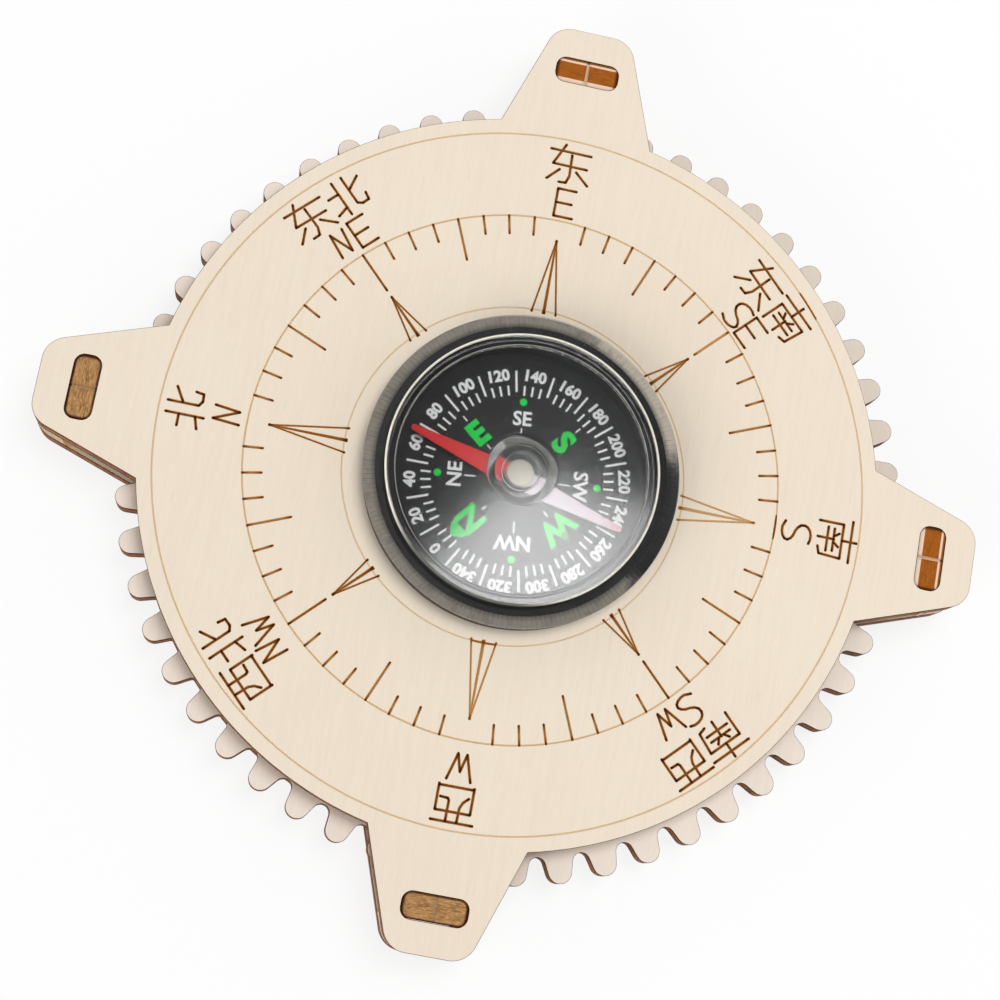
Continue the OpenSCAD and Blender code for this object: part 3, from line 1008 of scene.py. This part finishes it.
def lathe(name, profile, materials, radius=0.08, angle=32, steps=None):
    # turns a closed outline round the module's axis
    steps = steps or module["steps"]
    ways = [2 * math.pi * k / steps for k in range(steps)]
    verts, rings = [], []
    for r, z in softened(profile, radius):
        start = len(verts)
        if r < 1e-6:
            verts.append((0, 0, z))
            rings.append([start] * steps)
        else:
            verts += [(r * math.cos(way), r * math.sin(way), z) for way in ways]
            rings.append(list(range(start, start + steps)))
    faces = []
    for i, low in enumerate(rings):
        high = rings[(i + 1) % len(rings)]
        if low[0] == low[1] and high[0] == high[1]:
            continue
        for k in range(steps):
            n = (k + 1) % steps
            loop = [low[k], low[n], high[n], high[k]]
            faces.append([v for j, v in enumerate(loop) if v != loop[j - 1]])
    at = module["at"]
    item = addPiece(name, [(x + at[0], y + at[1], z) for x, y, z in verts], faces, materials)
    return closeUp(item, angle)


def plainPlastic(name, colour, roughness, dust):
    material, place = newMaterial(name)
    cloud = place.noise(0.5, 3.0, 0.6)
    fine = place.noise(14.0, 2.0, 0.5)
    tint = (cloud.fade(0.35, 0.75) * 0.6).mix(colour, scaled(colour, 1.5, 0.004))
    specks = place.noise(5.0, 2.0, 0.4).fade(0.72, 0.76)
    tint = (specks * dust).mix(tint, rgb(220, 216, 208))
    return shade(material, place, {
        "Base Color": tint,
        "Roughness": roughness + cloud * 0.12,
        "Specular IOR Level": 0.15,
        "Normal": fine.bump(0.00001, 0.2),
    })


def headingFrom(place):
    # the place from the module's axis, and its heading as 0 to 1
    x, y = module["at"]
    middle = place.node("ShaderNodeMapping", None, {"Vector": place, "Location": (-x, -y, 0)})
    return middle, place.node("ShaderNodeTexGradient", {"gradient_type": "RADIAL"},
                              {"Vector": middle}, out=1)


def hazyBand():
    # the ribbed band under the clear lip, with painted light that makes it pale in places by
    # heading
    material, place = newMaterial("hazyBand")
    middle, heading = headingFrom(place)
    flat = place.node("ShaderNodeMapping", None, {"Vector": middle, "Scale": (1, 1, 0)})
    far = place.node("ShaderNodeVectorMath", {"operation": "LENGTH"}, {0: flat}, out=1)
    ripple = place.noise(0.7, 3.0, 0.6)
    degrees = heading * 360.0 - 180.0 + (ripple - 0.5) * module["waver"]
    (low, high), (start, stop), end = module["darkArc"], module["paleArc"], module["arcEnd"]
    # painted light: none over the dark arc, full over the pale arc, half elsewhere
    dark = degrees.fade(low - end, low) * degrees.fade(high + end, high)
    pale = degrees.fade(start - end, start) * degrees.fade(stop + end, stop)
    lightShare = module["lightShare"] * (1.0 - dark) * (1.0 - pale) + pale
    colour = lightShare.mix(module["bandTint"], module["paintedLightTint"])
    colour = (far.fade(*module["shaded"]) * 0.55).mix(colour, rgb(30, 30, 30))
    colour = (ripple.fade(0.45, 0.75) * 0.3).mix(colour, rgb(40, 40, 40))
    return shade(material, place, {"Base Color": colour, "Roughness": 0.35 + ripple * 0.2,
                                   "Specular IOR Level": 0.3})


blackPlastic = plainPlastic("blackPlastic", rgb(12, 12, 13), 0.3, 0.5)
cardBlack = plainPlastic("cardBlack", rgb(36, 36, 37), 0.55, 0.05)
paintedLightPlastic = hazyBand()


def addModuleBase():
    # a neck with a flange; the rim of the flange is ribbed under the clear lip
    m = module
    low = m["seatZ"] - m["ribDeep"]
    profile = [
        (0, m["footZ"]), (m["neckR"], m["footZ"], 0.4), (m["neckR"], m["flangeZ"], 0.0),
        (m["flangeR"], m["flangeZ"], 0.1), (m["flangeR"], low, 0.05), (m["ribInner"], low, 0.0),
        (m["ribInner"], m["seatZ"], 0.0), (m["cavityR"], m["seatZ"], 0.1),
        (m["cavityR"], m["cardZ"], 0.0), (m["ledgeR"], m["cardZ"], 0.0),
        (m["ledgeR"], m["floorZ"], 0.2), (m["postR"], m["floorZ"], 0.2),
        (m["postR"], m["cardZ"], 0.0), (m["pinR"], m["cardZ"], 0.0), (m["pinR"], m["pinZ"], 0.0),
        (0, m["pinZ"])]
    base = lathe("module_cup", profile, [blackPlastic, paintedLightPlastic])
    # the ribbed rim of the flange takes the band with painted light
    for face in base.data.polygons:
        far = math.hypot(face.center.x / mm - m["at"][0], face.center.y / mm - m["at"][1])
        if far > m["ribInner"] and face.center.z / mm > low - 0.01:
            face.material_index = 1
    settle(base, "module", "black_plastic", "module_base")
    low -= 0.05
    x0, x1, y = m["ribInner"] - 0.05, m["ribOuter"], math.pi * m["ribOuter"] / m["ribs"] * 0.45
    top = m["seatZ"]
    verts = [(x, side * share * y, z) for x in (x0, x1) for side in (-1, 1)
             for z, share in ((low, 1.0), (top, 0.55))]
    faces = [(0, 1, 3, 2), (4, 6, 7, 5), (0, 4, 5, 1), (2, 3, 7, 6), (1, 5, 7, 3), (0, 2, 6, 4)]
    ribs = grow("flange_ribs", newMesh("rib", verts, faces), spokeTree, {
        "Count": m["ribs"], "Step": 1, "Offset": 0, "Shift": (m["at"][0] * mm, m["at"][1] * mm, 0),
        "Ink": paintedLightPlastic})
    settle(closeUp(ribs), "module", "black_plastic")


addModuleBase()
print("module base moulded")

# The dial: a black card with printed marks; angles run clockwise from its north
dial = {
    "cardR": 16.6, "holeR": 0.8,
    "shortTick": (11.13, 12.43, 0.25), "longTick": (11.6, 14.38, 0.28),  # inner, outer, width
    "slip": (0.0, -0.28),  # how far the card's print is off its middle
    "numberR": 13.85, "numberH": 1.42, "letterR": 8.15, "letterH": 1.8,
    "bigR": 7.95, "bigH": 2.9, "dotR": 10.28, "westDotR": 9.23, "dotSize": 0.48,
    "barHalf": 0.08, "halfwayBar": (5.4, 6.85), "quarterBar": (5.2, 6.0), "outerBar": (9.95, 10.75),
    "arrow": [(-1.25, 9.45), (1.25, 9.45), (1.25, 10.1), (0, 11.3), (-1.25, 10.1)],
    "ink": 0.02,
}


def printInk(name, colour):
    material, place = newMaterial(name)
    patch = place.noise(3.5, 3.0, 0.6)
    wornAndDimmed = (patch.fade(0.5, 0.8) * 0.25).mix(colour, scaled(colour, 0.55))
    return shade(material, place, {"Base Color": wornAndDimmed, "Roughness": 0.45 + patch * 0.2,
                                   "Specular IOR Level": 0.35})


whiteInk = printInk("whiteInk", rgb(248, 248, 246))
greenInk = printInk("greenInk", rgb(10, 222, 78))
printAt = Vector([place + slip for place, slip in zip(module["at"], dial["slip"])]
                 + [module["faceZ"]]) * mm


def dialPlace(angle):
    # from a place drawn with +Y outward to its place on the dial
    heading = math.radians(module["dialNorth"] - angle)
    return Matrix.Translation(printAt) @ Matrix.Rotation(heading - math.pi / 2, 4, "Z")


def lettering(words, height, bold):
    # Blender's own letters as a thin closed mesh, centred on the origin, in millimetres
    curve = bpy.data.curves.new("words", "FONT")
    curve.body = words
    curve.size = height / 0.7
    curve.align_x = "CENTER"
    curve.offset = bold
    curve.extrude = dial["ink"] / 2
    curve.resolution_u = 3
    holder = newObject("words", curve)
    mesh = plainMesh(holder)
    bpy.data.objects.remove(holder)
    mesh.transform(Matrix.Translation((0, -height / 2, dial["ink"] / 2)))
    return mesh


def slab(outline):
    # a flat closed shape in millimetres, as thick as the ink and standing on z = 0
    count = len(outline)
    verts = [(x, y, z) for z in (0, dial["ink"]) for x, y in outline]
    faces = [tuple(range(count))[::-1], tuple(range(count, 2 * count))]
    faces += [(i, (i + 1) % count, count + (i + 1) % count, count + i) for i in range(count)]
    return newMesh("slab", verts, faces, scale=1)


def bar(x0, x1, y0, y1):
    return slab([(x0, y0), (x1, y0), (x1, y1), (x0, y1)])


def gather(name, parts, material):
    # joins meshes in millimetres, each with its own place, into one piece
    work = bmesh.new()
    for mesh, place in parts:
        copy = mesh.copy()
        copy.transform(place @ Matrix.Scale(mm, 4))
        work.from_mesh(copy)
        bpy.data.meshes.remove(copy)
    mesh = bpy.data.meshes.new(name)
    work.to_mesh(mesh)
    work.free()
    mesh.materials.clear()
    mesh.materials.append(material)
    mesh.polygons.foreach_set("material_index", [0] * len(mesh.polygons))
    return closeUp(newObject(name, mesh), weld=1e-7)


def addDial():
    m, d = module, dial
    low, high = m["cardZ"], m["faceZ"]
    card = lathe("dial_face", [(d["holeR"], low), (d["cardR"], low), (d["cardR"], high),
                               (d["holeR"], high)], [cardBlack], 0.04)
    settle(card, "module", "dial_print", "dial_card")
    for name, (inner, outer, width), invert in (("short_degree_marks", d["shortTick"], True),
                                                ("long_degree_marks", d["longTick"], False)):
        mesh = bar(inner, outer, -width / 2, width / 2)
        mesh.transform(Matrix.Scale(mm, 4))
        ticks = grow(name, mesh, spokeTree, {
            "Count": 72, "Step": 4, "Offset": 2, "Invert": invert,
            "Turn": math.radians(m["dialNorth"]), "Shift": tuple(printAt), "Ink": whiteInk})
        settle(closeUp(ticks, weld=1e-7), "module", "dial_print")

    def word(words, degrees, height, radius, bold):
        out = Matrix.Translation(Vector((0, radius, 0)) * mm)
        return lettering(words, height, bold), dialPlace(degrees) @ out

    def stripe(degrees, span):
        return bar(-d["barHalf"], d["barHalf"], *span), dialPlace(degrees)

    white = [word(str(degrees), degrees, d["numberH"], d["numberR"], 0.08)
             for degrees in range(0, 360, 20)]
    for degrees, words in ((45, "NE"), (135, "SE"), (225, "SW"), (315, "NW")):
        white.append(word(words, degrees, d["letterH"], d["letterR"], 0.06))
        white.append(stripe(degrees, d["halfwayBar"]))
    for degrees in (0, 90, 180, 270):
        white.append(stripe(degrees, d["quarterBar"]))
        if degrees in (90, 180):
            white.append(stripe(degrees, d["outerBar"]))
    settle(gather("dial_numbers", white, whiteInk), "module", "dial_print")
    green = [word(words, degrees, d["bigH"], d["bigR"], 0.2)
             for degrees, words in ((0, "N"), (90, "E"), (180, "S"), (270, "W"))]
    green.append((slab(d["arrow"]), dialPlace(0)))
    for degrees in (45, 135, 225, 270, 315):
        far = d["westDotR"] if degrees == 270 else d["dotR"]
        green.append((slab(arc((0, far), d["dotSize"], 0, 360, 20)[:-1]), dialPlace(degrees)))
    settle(gather("dial_letters", green, greenInk), "module", "dial_print")


addDial()
print("dial printed")

# The needle: a painted blade on a turned hub
needle = {
    "length": 29.8, "width": 3.1, "pointR": 0.4, "thick": 0.4, "z": 6.5, "turn": 74.5, "holeR": 1.2,
    "bevel": 0.06,
    "red": (rgb(218, 2, 10), rgb(226, 18, 24)), "white": (rgb(204, 190, 198), rgb(196, 168, 180)),
    "faded": rgb(214, 122, 136), "fadedTip": (11.0, 14.6),  # from the hub, along the white half
    "collarZ": 6.15, "collarR": 1.4, "neckR": 1.15, "capR": 1.8, "capZ": 6.92, "hubTop": 10.3,
    "boreR": 0.75, "boreZ": 9.8, "boreCone": 0.8,
}


def needlePaint():
    material, place = newMaterial("needlePaint")
    at, n = module["at"], needle
    x, y, _ = place.parts()
    heading = math.radians(n["turn"])
    along = (x - at[0]) * math.cos(heading) + (y - at[1]) * math.sin(heading)
    mottle = place.noise(2.2, 3.0, 0.6)
    red = (mottle.fade(0.4, 0.75) * 0.35).mix(*n["red"])
    pale = (mottle.fade(0.4, 0.75) * 0.5).mix(*n["white"])
    tip = (0.0 - along).fade(*n["fadedTip"]) * 0.6
    pale = tip.mix(pale, n["faded"])
    colour = along.fade(-0.15, 0.15).mix(pale, red)
    return shade(material, place, {
        "Base Color": colour,
        "Roughness": 0.35 + mottle * 0.15,
        "Coat Weight": 0.3,
        "Coat Roughness": 0.15,
        "Normal": mottle.bump(0.00002, 0.3),
    })


def addNeedle():
    n = needle
    reach, side = n["length"] / 2 - n["pointR"], n["width"] / 2
    lean = math.degrees(math.acos((side - n["pointR"]) / reach))
    outline = []
    for way, point in ((0, (-reach, 0)), (180, (reach, 0))):
        outline += arc((0, 0), side, way + lean, way + 180 - lean, 10)
        outline += arc(point, n["pointR"], way + 180 - lean, way + 180 + lean, 8)
    hole = arc((0, 0), n["holeR"], 360, 0, 36)[:-1]
    paint = needlePaint()
    blade = board("needle", [(outline, None), (hole, None)], n, n["z"], 1, paint, paint,
                  turn=n["turn"], at=module["at"])
    settle(blade, "needle", "needle_paint", "needle_blade")
    metal, place = newMaterial("paleMetal")
    rings = place.noise(5.0, 2.0, 0.5)
    shade(metal, place, {"Base Color": (rings * 0.7).mix(rgb(204, 196, 178), rgb(158, 148, 124)),
                         "Roughness": 0.3 + rings * 0.1, "Metallic": 0.25,
                         "Normal": rings.bump(0.00001, 0.4)})
    under = n["z"] - 0.02
    hub = lathe("needle_cap", [
        (n["boreR"], n["collarZ"], 0.05), (n["collarR"], n["collarZ"], 0.05),
        (n["collarR"], under, 0.0), (n["neckR"], under, 0.0), (n["neckR"], n["capZ"], 0.0),
        (n["capR"], n["capZ"], 0.08), (n["capR"], n["hubTop"] - 0.1, 0.3), (0, n["hubTop"]),
        (0, n["boreZ"]), (0.1, n["boreZ"], 0.0), (n["boreR"], n["boreZ"] - n["boreCone"], 0.0)],
        [metal], steps=72)
    settle(hub, "needle", "pale_metal", "needle_hub")
    brass, place = newMaterial("brass")
    tone = place.noise(2.0, 3.0, 0.6)
    shade(brass, place, {"Base Color": tone.mix(rgb(206, 172, 92), rgb(176, 140, 70)),
                         "Roughness": 0.25 + tone * 0.2, "Metallic": 1.0})
    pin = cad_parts["pivot_pin"]
    pin.data.materials.clear()
    pin.data.materials.append(brass)


addNeedle()
print("needle painted")

# The clear cover
cover = {
    "r": 19.9, "rimR": 17.0, "stepR": 18.8, "topZ": 13.8, "paneZ": 12.8, "seatZ": 12.23,
    "lipZ": 12.7, "stepZ": 13.2, "spigotR": 16.7, "spigotIn": 16.0, "spigotZ": 11.2,
    "bossR": 3.4, "bossIn": 2.4,
    "bossZ": 10.0, "bossFlare": 1.1, "bevel": 0.2,
    "beadR": 0.16,  # the pale bead that runs round the window's edge, a painted highlight
    "dimFrom": (115, 140), "dimTo": (185, 215),  # headings between which the bead's painted highlight is dimmed
}


def clearPlastic():
    material, place = newMaterial("clearPlastic")
    waves = place.noise(0.35, 2.0, 0.5)
    return shade(material, place, {
        "Base Color": (0.965, 0.975, 0.975, 1.0),
        "Roughness": 0.07,
        "IOR": 1.49,
        "Specular IOR Level": 0.14,
        "Transmission Weight": 1.0,
        "Normal": waves.bump(0.00002, 0.15),
    })


def addBead():
    # a pale bead round the window's edge: a painted highlight, dimmed over one arc of headings
    c = cover
    highlightPaint, place = newMaterial("paintedHighlightRim")
    cloud = place.noise(1.6, 3.0, 0.6)
    _, heading = headingFrom(place)
    degrees = (heading * 360.0 + 180.0) % 360.0
    # the painted highlight is dimmed between these headings
    wornAndDimmed = degrees.fade(*c["dimFrom"]) * degrees.fade(*c["dimTo"][::-1])
    pale = (cloud.fade(0.4, 0.75) * 0.6).mix(rgb(246, 240, 226), rgb(206, 200, 190))
    shade(highlightPaint, place, {
        "Base Color": (wornAndDimmed * 0.9).mix(pale, rgb(70, 68, 64)),
        "Roughness": 0.4 + cloud * 0.2,
        "Normal": cloud.bump(0.00002, 0.4)})
    centre = (c["rimR"] + c["beadR"] / 2, c["topZ"] - c["beadR"] - 0.01)
    bead = lathe("window_highlight_bead", arc(centre, c["beadR"], 0, 360, 12)[:-1], [highlightPaint], 0, 60)
    settle(bead, "module", "clear_plastic")


def addCover():
    c = cover
    profile = [
        (0, c["paneZ"]), (c["bossIn"], c["paneZ"], 0.2), (c["bossIn"], c["bossZ"], 0.15),
        (c["bossR"], c["bossZ"], 0.15), (c["bossR"], c["paneZ"] - c["bossFlare"], 0.25),
        (c["bossR"] + c["bossFlare"], c["paneZ"], 0.3), (c["spigotIn"], c["paneZ"], 0.3),
        (c["spigotIn"], c["spigotZ"], 0.05), (c["spigotR"], c["spigotZ"], 0.05),
        (c["spigotR"], c["seatZ"], 0.03), (c["r"], c["seatZ"], 0.05), (c["r"], c["lipZ"], 0.15),
        (c["stepR"], c["stepZ"], 0.1), (c["rimR"] + c["bevel"], c["topZ"] - c["bevel"], 0.05),
        (c["rimR"], c["topZ"], 0.05), (0, c["topZ"])]
    item = lathe("clear_window", profile, [clearPlastic()], angle=40)
    item.visible_shadow = False  # so that the lamps light the dial through it
    settle(item, "module", "clear_plastic", "clear_cover")


addCover()
addBead()
print("cover fitted")

# Two flat lamps that the window mirrors to the camera as a wedge with its corner at the hub
glare = {
    "height": 1.0,  # m
    # heading of the side that leaves the corner, which way the other side turns, size, power
    "wide": (146.5, 1, (0.1, 0.1), 0.24),
    "bright": (264.5, -1, (0.1, 0.045), 0.075),
}


def addGlare():
    eye = Vector(camera["at"]) * mm
    hub = Vector((*module["at"], cover["topZ"])) * mm
    corner = hub + (hub - eye) * (glare["height"] - hub.z) / (eye.z - hub.z)
    for name in ("wide", "bright"):
        heading, way, size, power = glare[name]
        along = turned((size[0] / 2, way * size[1] / 2), math.radians(heading))
        at = (corner.x + along[0], corner.y + along[1], glare["height"])
        addLamp(name + "_glare", at, (at[0], at[1], 0), size, power, heading)


addGlare()
print("glare set")
